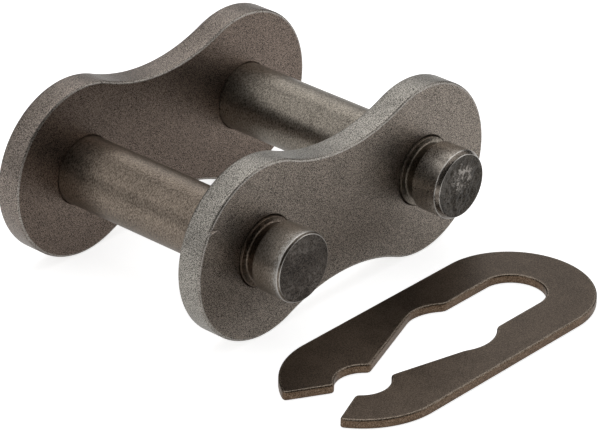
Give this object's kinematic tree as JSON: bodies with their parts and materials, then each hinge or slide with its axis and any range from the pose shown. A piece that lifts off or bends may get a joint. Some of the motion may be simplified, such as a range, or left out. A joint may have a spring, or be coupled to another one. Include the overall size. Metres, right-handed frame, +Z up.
{
  "type": "roller chain connecting link",
  "caption": "Spring-clip connecting link of a roller drive chain: figure-eight link plate with riveted pins, slide-on cover plate, and the flat forked clip lying loose in front.",
  "frame": {"origin": "middle of the whole set's footprint, link and loose clip together, on the surface that it rests on", "axes": "+X from the left pin to the right pin along the pitch, +Y from the loose clip towards the rear plate along the pins, +Z up"},
  "size_m": [0.0342, 0.041, 0.0152],
  "materials": {
    "plate_steel": "shot-peened, matt",
    "pin_steel": "ground, satin",
    "clip_steel": "blued brown, satin"
  },
  "bodies": {
    "pin_link": {"rear_link_plate": "plate_steel", "left_pin": "pin_steel", "right_pin": "pin_steel"},
    "cover_plate": {"cover_plate": "plate_steel"},
    "spring_clip": {"spring_clip": "clip_steel"}
  },
  "joints": [
    {"name": "cover_plate_slide", "type": "slide", "parent": "pin_link", "child": "cover_plate", "axis": [0, -1, 0], "range_m": [-0.0175, 0.015]},
    {"name": "clip_slide", "type": "slide", "parent": "cover_plate", "child": "spring_clip", "axis": [1, 0, 0], "range_m": [0, 0.00815]}
  ]
}
